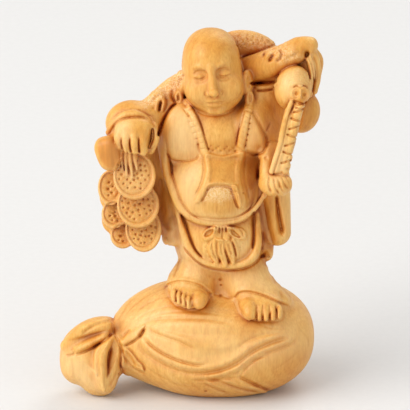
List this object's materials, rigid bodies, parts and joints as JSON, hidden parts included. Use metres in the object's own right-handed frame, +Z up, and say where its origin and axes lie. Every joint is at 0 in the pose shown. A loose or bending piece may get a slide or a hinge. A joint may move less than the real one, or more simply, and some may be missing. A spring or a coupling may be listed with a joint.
{
  "type": "wood netsuke",
  "caption": "Carved wooden figure of a stout monk in an open robe standing on a full cloth sack, with a branch over the shoulders; a small display carving that stands by itself.",
  "frame": {"origin": "middle of the bounding box's footprint, at the level of the flat underside", "axes": "+Z up, the figure faces -Y, +X is on the viewer's right"},
  "size_m": [0.0408, 0.0204, 0.0593],
  "materials": {
    "netsuke_figure": "satin carved boxwood, hand rubbed"
  },
  "bodies": {
    "root": {"netsuke_figure": "netsuke_figure"}
  },
  "joints": []
}
